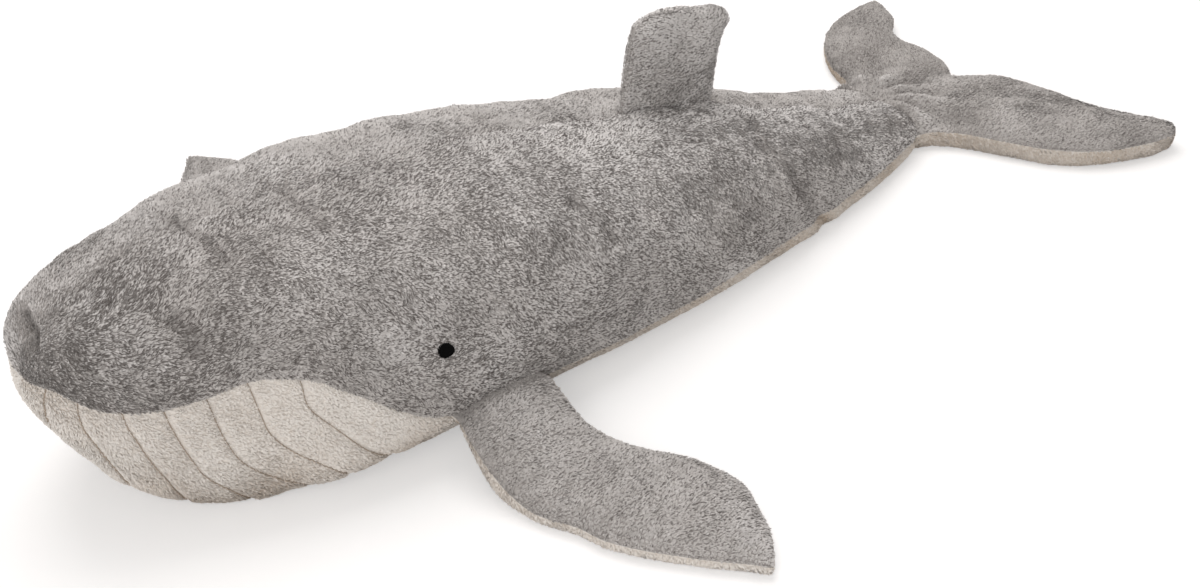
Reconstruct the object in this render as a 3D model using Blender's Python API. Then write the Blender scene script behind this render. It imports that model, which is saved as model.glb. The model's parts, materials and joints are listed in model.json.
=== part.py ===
"""A large stuffed whale, lying on its belly: sewn plush panels round soft filling.

Units are metres. The nose points to -X, the tail to +X and up is +Z; the whale's left is -Y.
Lengths are first measured from the snout, on the floor, and the finished whale is then moved
so that the middle of its box stands over the origin. Each flipper, the dorsal fin and the
flukes turn on their sewn root seams.
"""

import math

import bmesh
import bpy
import numpy as np
from mathutils import Vector
from mathutils.bvhtree import BVHTree

# Plush, filling and seams
PLUSH_THICKNESS = 0.003
SEAM_CLEARANCE = 0.0003
PUCKER_RADIUS = 0.0012
PLEAT_DEPTH = 0.0014
PLEAT_SWEEP = 0.125

# Body
BODY_LENGTH = 0.812
BODY_WIDTH = 0.252
BODY_HEIGHT = 0.1765

# Eyes, stitched in raised thread
EYE_LENGTH = 0.0135
EYE_HEIGHT = 0.0115
EYE_RELIEF = 0.0022

# Flippers
FLIPPER_ROOT = 0.079
FLIPPER_LENGTH = 0.218
FLIPPER_CHORD = 0.108
FLIPPER_ROOT_RADIUS = 0.0050
FLIPPER_EDGE_HEIGHT = 0.0090
FLIPPER_TOP_SWELL = 0.0150
FLIPPER_UNDER_SWELL = 0.0070

# Dorsal fin
FIN_CHORD = 0.100
FIN_HEIGHT = 0.072
FIN_ROOT_RADIUS = 0.0055
FIN_SIDE_SWELL = 0.0085

# Flukes
FLUKE_ROOT = 0.098
FLUKE_SPAN = 0.370
FLUKE_LENGTH = 0.178
FLUKE_ROOT_RADIUS = 0.0085
FLUKE_EDGE_HEIGHT = 0.0170
FLUKE_TOP_SWELL = 0.0110
FLUKE_UNDER_SWELL = 0.0145

# Body outline from snout to tail seam: stations as shares of the body's length, half width as
# shares of half the body's width, heights as shares of the body's height
STATION_SHARES = (0.0, 0.0137, 0.057, 0.126, 0.229, 0.343, 0.457,
                  0.571, 0.686, 0.80, 0.914, 0.96, 0.985, 0.997, 1.0)
HALF_WIDTH_SHARES = (0.0, 0.29, 0.545, 0.765, 0.975, 1.0, 0.985,
                     0.925, 0.83, 0.705, 0.55, 0.465, 0.39, 0.24, 0.0)
TOP_SHARES = (0.663, 0.82, 0.924, 0.98, 1.0, 0.973, 0.885,
              0.76, 0.657, 0.468, 0.27, 0.23, 0.204, 0.153, 0.095)
BOTTOM_SHARES = (0.663, 0.437, 0.111, -0.08, -0.05, -0.05, -0.05,
                 -0.05, -0.05, -0.05, -0.05, -0.045, -0.015, 0.04, 0.095)
WIDEST_SHARES = (0.663, 0.67, 0.555, 0.40, 0.284, 0.297, 0.247,
                 0.163, 0.122, 0.095, 0.09, 0.092, 0.094, 0.095, 0.095)

# The seam between the grey side panels and the pale belly panel: it runs round the jaw at the
# mouth's height and drops behind the eye to the flipper, then goes back close to the floor
SEAM_STATION_SHARES = (0.0, 0.0137, 0.031, 0.056, 0.09, 0.145, 0.18, 0.199, 0.222,
                       0.246, 0.268, 0.297, 0.343, 0.45, 0.61, 0.75, 0.90, 0.96, 1.0)
SEAM_HEIGHT_SHARES = (0.663, 0.65, 0.607, 0.584, 0.597, 0.621, 0.569, 0.503, 0.418,
                      0.329, 0.261, 0.203, 0.183, 0.175, 0.168, 0.170, 0.165, 0.145, 0.095)

# Section fullness: 1 is an ellipse and less is fuller
SIDE_FULLNESS_SHARE = 0.82
CROWN_FULLNESS_SHARE = 0.86

# Places along the body, as shares of its length, and the eye's height as a share of its height
PLEAT_STATION_SHARES = (0.008, 0.020, 0.043, 0.068, 0.100, 0.132, 0.168)
PLEAT_SWEEP_STATION_SHARE = 0.17
PLEAT_CURVE_SHARE = 2.2
EYE_STATION_SHARE = 0.288
EYE_HEIGHT_SHARE = 0.521
FLIPPER_STATION_SHARE = 0.289
FIN_STATION_SHARE = 0.610

# Flipper outline: stations as shares of its length, edges as shares of its chord behind the
# front end of the root
FLIPPER_STATION_SHARES = (0.0, 0.10, 0.21, 0.30, 0.40, 0.50, 0.60, 0.70, 0.80, 0.88, 0.95, 1.0)
FLIPPER_FRONT_SHARES = (0.0, -0.05, -0.065, -0.045, 0.0, 0.09, 0.135, 0.24, 0.38, 0.50, 0.62, 0.69)
FLIPPER_REAR_SHARES = (0.73, 0.70, 0.71, 0.80, 0.92, 1.05, 1.10, 1.11, 1.02, 0.94, 0.83, 0.73)

# Dorsal fin outline in the same way, along the back
FIN_STATION_SHARES = (0.0, 0.35, 0.60, 0.75, 0.85, 0.93, 0.97, 1.0)
FIN_FRONT_SHARES = (0.0, -0.02, -0.025, -0.015, 0.01, 0.12, 0.24, 0.50)
FIN_REAR_SHARES = (1.0, 0.97, 0.96, 0.975, 1.01, 0.97, 0.92, 0.83)

# Fluke outline: stations as shares of half the span, edges as shares of the fluke's length
# behind the root seam
FLUKE_STATION_SHARES = (0.0, 0.10, 0.19, 0.27, 0.38, 0.58, 0.78, 0.88, 0.96, 1.0)
FLUKE_FRONT_SHARES = (0.0, 0.0, 0.0, 0.0, 0.10, 0.22, 0.36, 0.48, 0.66, 0.82)
FLUKE_REAR_SHARES = (0.578, 0.70, 0.735, 0.77, 0.785, 0.82, 0.885, 0.965, 1.0, 0.93)

# Swelling of a filled limb from its root to its far edge, as shares of its full swelling
SWELL_STATION_SHARES = (0.0, 0.08, 0.20, 0.40, 0.65, 0.85, 0.95, 1.0)
SWELL_SHARES = (0.0, 0.30, 0.72, 1.0, 0.97, 0.66, 0.34, 0.0)
LENS_FULLNESS_SHARE = 0.6
ROOT_FADE_SHARE = 0.22
ROOT_SPREAD_SHARE = 1.5
ROOT_SQUARENESS = 8
DROOP_SHARE = 0.5

# Mesh spacing, as counts and shares
SIDE_COLUMNS = 6
HALF_BELLY_COLUMNS = 4
REAR_RINGS = 17
RING_SAMPLES = 240
LIMB_ROW_SHARES = (0.0, 0.07, 0.18, 0.34, 0.52, 0.70, 0.84, 0.94, 1.0)
LIMB_COLUMN_SHARES = (-1.0, -0.82, -0.45, 0.0, 0.45, 0.82, 1.0)
FLUKE_COLUMN_SHARES = (-1.0, -0.96, -0.85, -0.65, -0.45, -0.26, -0.12, 0.0,
                       0.12, 0.26, 0.45, 0.65, 0.85, 0.96, 1.0)
FLUKE_ROW_SHARES = (0.0, 0.08, 0.22, 0.45, 0.72, 0.92, 1.0)
FIN_ROW_SHARES = (0.0, 0.12, 0.30, 0.55, 0.80, 0.93, 1.0)
SEAT_STEPS = 40
ROOT_ARC_SHARES = (1.0, 0.5)
EYE_SIDES = 20
EYE_DOME_SHARES = ((1.0, 0.0), (1.0, 0.4), (0.66, 0.82))
PLACE_STEP_SHARE = 0.004
TURN_STEP_SHARE = 0.02

GREY_PLUSH = ("grey_plush", (0.27, 0.245, 0.235, 1.0), 0.95)
CREAM_PLUSH = ("cream_plush", (0.55, 0.49, 0.42, 1.0), 0.95)
FILLING = ("filling", (0.85, 0.85, 0.83, 1.0), 1.0)
BLACK_THREAD = ("black_thread", (0.006, 0.006, 0.006, 1.0), 0.6)


def through(stations, values, place):
    """A smooth curve through hand-chosen points, read at one place or at an array of places."""
    stations, values = np.asarray(stations, float), np.asarray(values, float)
    steps = np.diff(stations)
    rises = np.diff(values) / steps
    slopes = np.empty_like(values)
    slopes[1:-1] = (rises[:-1] * steps[1:] + rises[1:] * steps[:-1]) / (steps[:-1] + steps[1:])
    slopes[0], slopes[-1] = rises[0], rises[-1]
    span = np.clip(np.searchsorted(stations, place) - 1, 0, len(steps) - 1)
    part = (place - stations[span]) / steps[span]
    curve = (2 * part**3 - 3 * part**2 + 1) * values[span]
    curve = curve + (part**3 - 2 * part**2 + part) * steps[span] * slopes[span]
    curve = curve + (3 * part**2 - 2 * part**3) * values[span + 1]
    return curve + (part**3 - part**2) * steps[span] * slopes[span + 1]


def ring_place(station_share):
    """Spread the stations so that rings crowd together at the round snout and tail end."""
    return 2 / math.pi * np.arcsin(np.sqrt(station_share))


def station_of(place):
    return np.sin(math.pi / 2 * place) ** 2


def body_value(shares, place, stations=STATION_SHARES):
    return through(ring_place(np.asarray(stations)), shares, place)


class Ring:
    """One section of the body, from the middle of the back down the left side to the belly."""

    def __init__(self, place):
        half_width = BODY_WIDTH / 2 * body_value(HALF_WIDTH_SHARES, place)
        top = BODY_HEIGHT * body_value(TOP_SHARES, place)
        bottom = BODY_HEIGHT * body_value(BOTTOM_SHARES, place)
        widest = BODY_HEIGHT * body_value(WIDEST_SHARES, place)
        seam = BODY_HEIGHT * body_value(SEAM_HEIGHT_SHARES, place, SEAM_STATION_SHARES)
        angle = np.linspace(0, math.pi, RING_SAMPLES)
        rise = np.abs(np.cos(angle)) ** CROWN_FULLNESS_SHARE
        reach = np.where(angle < math.pi / 2, top - widest, bottom - widest)
        self.x = BODY_LENGTH * station_of(place)
        self.y = -half_width * np.sin(angle) ** SIDE_FULLNESS_SHARE
        self.z = widest + reach * rise
        steps = np.hypot(np.diff(self.y), np.diff(self.z))
        self.arc = np.concatenate(([0], np.cumsum(steps)))
        self.seam_arc = np.interp(-seam, -self.z, self.arc)
        self.belly_arc = self.arc[-1] - self.seam_arc

    def arc_at(self, turn):
        """Turn 0 is the back seam, 1 the belly seam and 2 the middle of the belly."""
        below = self.seam_arc + (turn - 1) * self.belly_arc
        return np.where(turn < 1, turn * self.seam_arc, below)

    def point(self, turn):
        """A point at any turn from -2 to 4: the right side mirrors the left."""
        turn = (turn + 2) % 4 - 2
        arc = self.arc_at(abs(turn))
        side = -1.0 if turn < 0 else 1.0
        y = side * np.interp(arc, self.arc, self.y)
        return np.array((self.x, y, np.interp(arc, self.arc, self.z)))

    def turn_at_height(self, height):
        arc = np.interp(-height, -self.z, self.arc)
        if arc < self.seam_arc:
            return arc / self.seam_arc
        return 1 + (arc - self.seam_arc) / self.belly_arc


def skin_normal(place, turn):
    """The direction that points straight out of the body before the floor flattens it."""
    before = Ring(max(place - PLACE_STEP_SHARE, place / 2))
    after = Ring(min(place + PLACE_STEP_SHARE, (place + 1) / 2))
    ring = Ring(place)
    along = after.point(turn) - before.point(turn)
    around = ring.point(turn + TURN_STEP_SHARE) - ring.point(turn - TURN_STEP_SHARE)
    normal = np.cross(around, along)
    return normal / np.linalg.norm(normal)


def skin_point(place, turn, inset):
    """A point of the body's skin, moved inwards, and flattened where the body meets the floor."""
    point = Ring(place).point(turn) - inset * skin_normal(place, turn)
    point[2] = max(point[2], inset)
    return point


def swept_place(place, turn):
    """Under the jaw the rings lean back towards the belly, as the throat pleats do."""
    if not 1 < turn < 3:
        return place
    station = station_of(place)
    fade = station / PLEAT_SWEEP_STATION_SHARE
    lean = math.sin(math.pi * (turn - 1) / 2) ** PLEAT_CURVE_SHARE * fade * math.exp(1 - fade)
    return ring_place(station + PLEAT_SWEEP / BODY_LENGTH * lean * (1 - station))


def ring_places():
    """Ring places from snout to tail, with one in each throat pleat and one between pleats."""
    first = PUCKER_RADIUS / BODY_WIDTH
    places = [first]
    for pleat in ring_place(np.array(PLEAT_STATION_SHARES)):
        places += [(places[-1] + pleat) / 2, pleat]
    rear = np.linspace(places[-1], 1 - first, REAR_RINGS + 1)
    return places + list(rear[1:])


def look_of(name, colour, roughness):
    material = bpy.data.materials.get(name) or bpy.data.materials.new(name)
    material.use_nodes = True
    shader = material.node_tree.nodes["Principled BSDF"]
    shader.inputs["Base Color"].default_value = colour
    shader.inputs["Roughness"].default_value = roughness
    shader.inputs["Metallic"].default_value = 0.0
    return material


def add_piece(name, form, look, parent):
    """Make one closed piece from points in whale coordinates, under its parent empty."""
    points, faces = form
    mesh = bpy.data.meshes.new(name)
    mesh.from_pydata([Vector(point) - parent.location for point in points], [], faces)
    work = bmesh.new()
    work.from_mesh(mesh)
    bmesh.ops.triangulate(work, faces=work.faces)
    bmesh.ops.recalc_face_normals(work, faces=work.faces)
    work.to_mesh(mesh)
    work.free()
    mesh.materials.append(look_of(*look))
    mesh.shade_smooth()
    piece = bpy.data.objects.new(name, mesh)
    bpy.context.scene.collection.objects.link(piece)
    piece.parent = parent
    return piece


def add_empty(name, location, parent):
    empty = bpy.data.objects.new(name, None)
    bpy.context.scene.collection.objects.link(empty)
    empty.location = location
    empty.parent = parent
    return empty


def grid_faces(start, rows, columns):
    faces = []
    for row in range(rows - 1):
        for column in range(columns - 1):
            corner = start + row * columns + column
            faces.append((corner, corner + 1, corner + columns + 1, corner + columns))
    return faces


def shell(upper, lower):
    """Close the space between two grids of points with the same rows and columns."""
    rows, columns = len(upper), len(upper[0])
    size = rows * columns
    points = [point for grid in (upper, lower) for row in grid for point in row]
    faces = grid_faces(0, rows, columns)
    faces += [face[::-1] for face in grid_faces(size, rows, columns)]
    rim = list(range(columns))
    rim += [row * columns + columns - 1 for row in range(1, rows)]
    rim += [size - 2 - column for column in range(columns - 1)]
    rim += [row * columns for row in range(rows - 2, 0, -1)]
    for here, there in zip(rim, rim[1:] + rim[:1]):
        faces.append((there, here, here + size, there + size))
    return points, faces


def body_panel(first_turn, last_turn, columns):
    """A plush panel of the body between two seams, its cut edges just clear of its neighbours."""
    belly = last_turn > 1
    last_pleat = 2 * len(PLEAT_STATION_SHARES)
    outer, inner = [], []
    for number, place in enumerate(ring_places()):
        ring = Ring(place)
        trim = SEAM_CLEARANCE / 2 / (ring.belly_arc if belly else ring.seam_arc)
        in_pleat = belly and 0 < number <= last_pleat and number % 2 == 0
        outer_row, inner_row = [], []
        for turn in np.linspace(first_turn + trim, last_turn - trim, columns + 1):
            across = math.sin(math.pi * (turn - first_turn) / (last_turn - first_turn))
            depth = PLEAT_DEPTH * across if in_pleat else 0
            outer_row.append(skin_point(swept_place(place, turn), turn, depth))
            inner_row.append(skin_point(swept_place(place, turn), turn, PLUSH_THICKNESS))
        outer.append(outer_row)
        inner.append(inner_row)
    return shell(outer, inner)


def body_filling():
    """The soft filling of the body, one closed form inside the panels."""
    inset = PLUSH_THICKNESS + SEAM_CLEARANCE
    left = list(np.linspace(0, 1, SIDE_COLUMNS + 1))
    left += list(np.linspace(1, 2, HALF_BELLY_COLUMNS + 1)[1:])
    turns = left + [4 - turn for turn in reversed(left[1:-1])]
    columns = len(turns)
    rows = [[skin_point(swept_place(place, turn), turn, inset) for turn in turns]
            for place in ring_places()]
    points = [point for row in rows for point in row]
    faces = []
    for row in range(len(rows) - 1):
        for column in range(columns):
            here = row * columns + column
            there = row * columns + (column + 1) % columns
            faces.append((here, there, there + columns, here + columns))
    faces.append(range(columns))
    faces.append(range(len(points) - columns, len(points)))
    return points, faces


def mirrored(form):
    points, faces = form
    return [(point[0], -point[1], point[2]) for point in points], faces


class Seat:
    """The straight root seam that a limb turns on, and the directions that it is built along."""

    def __init__(self, start, along, outward, upward, root_radius):
        self.start = Vector(start)
        self.along = Vector(along).normalized()
        self.outward = Vector(outward).normalized()
        self.upward = Vector(upward).normalized()
        self.root_radius = root_radius

    def rest_against(self, skin, length):
        """Slide the seam in against the outward direction until the round root clears the skin."""
        self.start += self.outward * length
        for _ in range(SEAT_STEPS):
            spots = [self.start + self.along * length * part for part in np.linspace(0, 1, SEAT_STEPS)]
            nearest = min(skin.find_nearest(spot)[3] for spot in spots)
            self.start -= self.outward * (nearest - self.root_radius - SEAM_CLEARANCE)
        return self

    def point(self, along, out, up):
        return self.start + self.along * along + self.outward * out + self.upward * up


class Limb:
    """A filled limb of two plush panels, with rows from its root seam to its far edge."""

    def __init__(self, seat, plan, length, swells, root_share=1.0, edge_rise=0.0, floor=None):
        self.seat, self.plan, self.length = seat, plan, length
        self.swells, self.root_share = swells, root_share
        self.edge_rise, self.floor = edge_rise, floor

    def middle(self, row, column):
        """Height of the edge seam above the root seam: a limb can droop to the floor."""
        part = min(max(self.plan(row, column)[1] / (self.length * DROOP_SHARE), 0), 1)
        return self.edge_rise * part * part * (3 - 2 * part)

    def thickness(self, row, column, side):
        """From the middle to the outer face, on the upper or the lower side."""
        thin = PLUSH_THICKNESS + SEAM_CLEARANCE / 2
        from_root = max(0, 1 - row / ROOT_FADE_SHARE) ** 2
        in_root = max(0, 1 - (abs(column) / self.root_share) ** ROOT_SQUARENESS)
        lens = max(0, 1 - column * column) ** LENS_FULLNESS_SHARE
        swell = through(SWELL_STATION_SHARES, SWELL_SHARES, row) * lens
        full = self.swells[0] if side > 0 else self.swells[1]
        return thin + (self.seat.root_radius - thin) * from_root * in_root + full * swell

    def face_point(self, row, column, side, inset):
        """A point of the limb's face, moved in by the inset and flat where it meets the floor."""
        along, out = self.plan(row, column)
        up = self.middle(row, column) + side * self.thickness(row, column, side)
        if side < 0 and self.floor is not None:
            up = max(up, self.floor)
        return self.seat.point(along, out, up - side * inset)

    def root_point(self, column, side, part, inset):
        """A point of the round root, which stays on its circle as the limb turns."""
        along, out = self.plan(0, column)
        radius = self.thickness(0, column, side) - inset
        up = max(radius * math.cos(part * math.pi / 2), SEAM_CLEARANCE / 2)
        out -= radius * math.sin(part * math.pi / 2)
        return self.seat.point(along, out, self.middle(0, column) + side * up)

    def layer(self, side, rows, columns, inset):
        points = [[self.root_point(column, side, part, inset) for column in columns]
                  for part in ROOT_ARC_SHARES]
        points += [[self.face_point(row, column, side, inset) for column in columns] for row in rows]
        return points

    def panel(self, side, rows, columns):
        return shell(self.layer(side, rows, columns, 0), self.layer(side, rows, columns, PLUSH_THICKNESS))

    def filling(self, rows, columns):
        inset = PLUSH_THICKNESS + SEAM_CLEARANCE
        layers = [[[self.face_point(row, column, side, inset) for column in columns[1:-1]]
                   for row in rows[2:-1]] for side in (1, -1)]
        return shell(*layers)


def chord_plan(length, chord, stations, fronts, rears):
    """Plan of a limb whose rows lie along its length and whose columns cross its chord."""
    def plan(row, column):
        front = chord * through(stations, fronts, row)
        rear = chord * through(stations, rears, row)
        return (front + rear) / 2 + column * (rear - front) / 2, length * row
    return plan


def fluke_plan(row, column):
    """Plan of the two joined flukes: columns run along the span and rows from front to rear."""
    front = FLUKE_LENGTH * through(FLUKE_STATION_SHARES, FLUKE_FRONT_SHARES, abs(column))
    rear = FLUKE_LENGTH * through(FLUKE_STATION_SHARES, FLUKE_REAR_SHARES, abs(column))
    return FLUKE_ROOT / 2 + column * FLUKE_SPAN / 2, front + row * (rear - front)


def side_point(station, height):
    """A point of the body's left side at a station and a height."""
    ring = Ring(ring_place(station))
    return Vector(ring.point(ring.turn_at_height(height)))


def left_flipper(skin):
    front_station = FLIPPER_STATION_SHARE
    rear_station = front_station + FLIPPER_ROOT / BODY_LENGTH
    height = BODY_HEIGHT * body_value(SEAM_HEIGHT_SHARES, ring_place(front_station),
                                      SEAM_STATION_SHARES)
    front = side_point(front_station, height)
    along = side_point(rear_station, height) - front
    seat = Seat(front, along, (along.y, -along.x, 0), (0, 0, 1), FLIPPER_ROOT_RADIUS)
    seat.rest_against(skin, FLIPPER_ROOT)
    plan = chord_plan(FLIPPER_LENGTH, FLIPPER_CHORD, FLIPPER_STATION_SHARES,
                      FLIPPER_FRONT_SHARES, FLIPPER_REAR_SHARES)
    return Limb(seat, plan, FLIPPER_LENGTH, (FLIPPER_TOP_SWELL, FLIPPER_UNDER_SWELL),
                edge_rise=FLIPPER_EDGE_HEIGHT - seat.start.z, floor=-seat.start.z)


def dorsal_fin(skin):
    front = Vector(Ring(ring_place(FIN_STATION_SHARE)).point(0))
    rear = Vector(Ring(ring_place(FIN_STATION_SHARE + FIN_CHORD / BODY_LENGTH)).point(0))
    along = rear - front
    seat = Seat(front, along, (-along.z, 0, along.x), (0, -1, 0), FIN_ROOT_RADIUS)
    seat.rest_against(skin, FIN_CHORD)
    plan = chord_plan(FIN_HEIGHT, FIN_CHORD, FIN_STATION_SHARES, FIN_FRONT_SHARES, FIN_REAR_SHARES)
    return Limb(seat, plan, FIN_HEIGHT, (FIN_SIDE_SWELL, FIN_SIDE_SWELL))


def flukes(skin):
    start = (BODY_LENGTH, -FLUKE_ROOT / 2, BODY_HEIGHT * TOP_SHARES[-1])
    seat = Seat(start, (0, 1, 0), (1, 0, 0), (0, 0, 1), FLUKE_ROOT_RADIUS)
    seat.rest_against(skin, FLUKE_ROOT)
    return Limb(seat, fluke_plan, FLUKE_LENGTH, (FLUKE_TOP_SWELL, FLUKE_UNDER_SWELL),
                root_share=FLUKE_ROOT / FLUKE_SPAN * ROOT_SPREAD_SHARE,
                edge_rise=FLUKE_EDGE_HEIGHT - seat.start.z, floor=-seat.start.z)


def eye(skin):
    """A low dome of stitched thread, seated on the left side panel."""
    place = ring_place(EYE_STATION_SHARE)
    turn = Ring(place).turn_at_height(BODY_HEIGHT * EYE_HEIGHT_SHARE)
    normal = Vector(skin_normal(place, turn))
    spot = Vector(Ring(place).point(turn)) + normal * EYE_LENGTH
    centre, normal = skin.ray_cast(spot, -normal)[:2]
    forward = Vector((-1, 0, 0)) + normal * normal.x
    forward.normalize()
    upward = forward.cross(normal)
    points = []
    for reach, rise in EYE_DOME_SHARES:
        for side in range(EYE_SIDES):
            angle = math.tau * side / EYE_SIDES
            flat = forward * (math.cos(angle) * reach * EYE_LENGTH / 2)
            flat += upward * (math.sin(angle) * reach * EYE_HEIGHT / 2)
            points.append(centre + flat + normal * (SEAM_CLEARANCE + rise * EYE_RELIEF))
    faces = [range(EYE_SIDES)]
    for ring in range(len(EYE_DOME_SHARES) - 1):
        for side in range(EYE_SIDES):
            here = ring * EYE_SIDES + side
            there = ring * EYE_SIDES + (side + 1) % EYE_SIDES
            faces.append((here, there, there + EYE_SIDES, here + EYE_SIDES))
    points.append(centre + normal * (SEAM_CLEARANCE + EYE_RELIEF))
    last = len(points) - 1
    for side in range(EYE_SIDES):
        here = last - EYE_SIDES + side
        faces.append((here, last - EYE_SIDES + (side + 1) % EYE_SIDES, last))
    return points, faces


def add_body(whale):
    """The body's three panels and filling. Returns the skin that the limbs are seated on."""
    side = body_panel(0, 1, SIDE_COLUMNS)
    belly = body_panel(1, 3, 2 * HALF_BELLY_COLUMNS)
    pieces = [add_piece("left_side_panel", side, GREY_PLUSH, whale),
              add_piece("right_side_panel", mirrored(side), GREY_PLUSH, whale),
              add_piece("belly_panel", belly, CREAM_PLUSH, whale)]
    add_piece("body_filling", body_filling(), FILLING, whale)
    points, faces = [], []
    for piece in pieces:
        start = len(points)
        points += [vertex.co for vertex in piece.data.vertices]
        faces += [[start + corner for corner in face.vertices] for face in piece.data.polygons]
    return BVHTree.FromPolygons(points, faces)


def add_limb(name, limb, rows, columns, joint, sides, right=False):
    """A limb's two panels and its filling, or their mirror images on the whale's right."""
    turned = mirrored if right else tuple
    for (label, look), side in zip(sides, (1, -1)):
        add_piece(f"{name}_{label}", turned(limb.panel(side, rows, columns)), look, joint)
    add_piece(f"{name}_filling", turned(limb.filling(rows, columns)), FILLING, joint)


def stand_over_origin(whale):
    """Move the whale so that the middle of its box stands over the origin."""
    bpy.context.view_layer.update()
    reach = [(piece.matrix_world @ vertex.co).x
             for piece in bpy.data.objects if piece.type == "MESH" for vertex in piece.data.vertices]
    whale.location.x = -(min(reach) + max(reach)) / 2


def build():
    for item in list(bpy.data.objects):
        bpy.data.objects.remove(item)
    whale = add_empty("whale", (0, 0, 0), None)
    skin = add_body(whale)
    left_eye = eye(skin)
    add_piece("left_eye", left_eye, BLACK_THREAD, whale)
    add_piece("right_eye", mirrored(left_eye), BLACK_THREAD, whale)

    lying = (("top_panel", GREY_PLUSH), ("under_panel", CREAM_PLUSH))
    standing = (("left_panel", GREY_PLUSH), ("right_panel", GREY_PLUSH))
    flipper = left_flipper(skin)
    for name, side in (("left_flipper", 1), ("right_flipper", -1)):
        start = flipper.seat.start
        joint = add_empty(f"{name}_root", (start.x, side * start.y, start.z), whale)
        add_limb(name, flipper, LIMB_ROW_SHARES, LIMB_COLUMN_SHARES, joint, lying, side < 0)
    fin = dorsal_fin(skin)
    joint = add_empty("dorsal_fin_root", fin.seat.start, whale)
    add_limb("dorsal_fin", fin, FIN_ROW_SHARES, LIMB_COLUMN_SHARES, joint, standing)
    tail = flukes(skin)
    joint = add_empty("flukes_root", tail.seat.start, whale)
    add_limb("flukes", tail, FLUKE_ROW_SHARES, FLUKE_COLUMN_SHARES, joint, lying)
    stand_over_origin(whale)


build()
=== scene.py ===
"""The looks of the stuffed whale: plush skins with their pile, stitching, eyes, floor and light.

Units are metres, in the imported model's frame: the snout points to -X, the whale's left is -Y
and up is +Z. Each panel of the model is replaced by a finer skin that follows the same rules,
with seams drawn in, and every skin carries its pile as short bent blades in small clumps.
"""

import json
import math

import bpy
import numpy as np
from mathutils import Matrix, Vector


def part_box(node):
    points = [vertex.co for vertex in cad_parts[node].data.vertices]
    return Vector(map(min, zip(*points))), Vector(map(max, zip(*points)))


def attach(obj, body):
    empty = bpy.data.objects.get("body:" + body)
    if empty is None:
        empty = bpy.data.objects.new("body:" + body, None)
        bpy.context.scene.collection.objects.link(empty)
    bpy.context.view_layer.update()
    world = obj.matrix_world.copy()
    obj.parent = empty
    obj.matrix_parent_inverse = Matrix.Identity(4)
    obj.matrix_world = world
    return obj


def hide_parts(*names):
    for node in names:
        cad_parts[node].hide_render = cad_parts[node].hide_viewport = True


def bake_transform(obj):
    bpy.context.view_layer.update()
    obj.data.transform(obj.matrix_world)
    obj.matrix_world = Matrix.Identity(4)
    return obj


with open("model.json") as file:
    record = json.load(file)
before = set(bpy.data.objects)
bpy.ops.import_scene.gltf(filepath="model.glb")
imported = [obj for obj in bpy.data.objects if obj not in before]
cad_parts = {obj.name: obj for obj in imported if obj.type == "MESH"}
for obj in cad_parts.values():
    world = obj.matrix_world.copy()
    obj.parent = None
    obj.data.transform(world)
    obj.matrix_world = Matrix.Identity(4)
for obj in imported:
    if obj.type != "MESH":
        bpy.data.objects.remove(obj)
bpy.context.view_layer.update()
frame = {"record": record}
SCENE = bpy.context.scene

# Body, with the same sizes and shares as the model's source
BODY_LENGTH = 0.812
BODY_WIDTH = 0.252
BODY_HEIGHT = 0.1765
STATION_SHARES = (0.0, 0.0137, 0.057, 0.126, 0.229, 0.343, 0.457,
                  0.571, 0.686, 0.80, 0.914, 0.96, 0.985, 0.997, 1.0)
HALF_WIDTH_SHARES = (0.0, 0.29, 0.545, 0.765, 0.975, 1.0, 0.985,
                     0.925, 0.83, 0.705, 0.55, 0.465, 0.39, 0.24, 0.0)
TOP_SHARES = (0.663, 0.82, 0.924, 0.98, 1.0, 0.973, 0.885,
              0.76, 0.657, 0.468, 0.27, 0.23, 0.204, 0.153, 0.095)
BOTTOM_SHARES = (0.663, 0.437, 0.111, -0.08, -0.05, -0.05, -0.05,
                 -0.05, -0.05, -0.05, -0.05, -0.045, -0.015, 0.04, 0.095)
WIDEST_SHARES = (0.663, 0.67, 0.555, 0.40, 0.284, 0.297, 0.247,
                 0.163, 0.122, 0.095, 0.09, 0.092, 0.094, 0.095, 0.095)
SEAM_STATION_SHARES = (0.0, 0.0137, 0.031, 0.056, 0.09, 0.145, 0.18, 0.199, 0.222,
                       0.246, 0.268, 0.297, 0.343, 0.45, 0.61, 0.75, 0.90, 0.96, 1.0)
SEAM_HEIGHT_SHARES = (0.663, 0.65, 0.607, 0.584, 0.597, 0.621, 0.569, 0.503, 0.418,
                      0.329, 0.261, 0.203, 0.175, 0.145, 0.122, 0.114, 0.106, 0.100, 0.095)
SIDE_FULLNESS_SHARE = 0.82
CROWN_FULLNESS_SHARE = 0.86

# Throat pleats, which lean back under the jaw, but not at the body's ends or at the seam
PLEAT_STATION_SHARES = (0.0054, 0.0195, 0.043, 0.069, 0.099, 0.130, 0.167)
LEAN_STATION_SHARES = (0.0, *PLEAT_STATION_SHARES, 0.25, 0.40, 0.60, 0.80, 1.0)
LEAN_TURNS = (1.0, 1.12, 1.2, 1.3, 1.4, 1.5, 1.7, 2.0)
LEAN_SHARES = np.pad((
    (0, 0, 0, 5, 10, 36, 180),
    (5, 16, 36, 75, 155, 340, 550),
    (40, 78, 135, 202, 285, 480, 800),
    (45, 85, 150, 245, 450, 750, 1100),
    (40, 80, 170, 360, 720, 1150, 1500),
    (40, 85, 280, 700, 1000, 1350, 1700),
    (50, 300, 700, 950, 1200, 1500, 1800),
    (100, 320, 700, 950, 1150, 1400, 1600),
    (90, 250, 500, 700, 850, 1000, 1100),
    (50, 130, 250, 350, 420, 500, 550),
    (20, 50, 100, 140, 170, 200, 220)), ((1, 1), (1, 0))) / 10000
PLEAT_TUCK = 0.0014
PLEAT_TUCK_REACH = 0.0030
PLEAT_THREAD_RADIUS = 0.00026
PLEAT_STITCH = 0.0040
PLEAT_STITCH_STEPS = 6
PLEAT_THREAD_RISE = 0.0010
PLEAT_THREAD_WAVE = 0.0004

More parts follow.
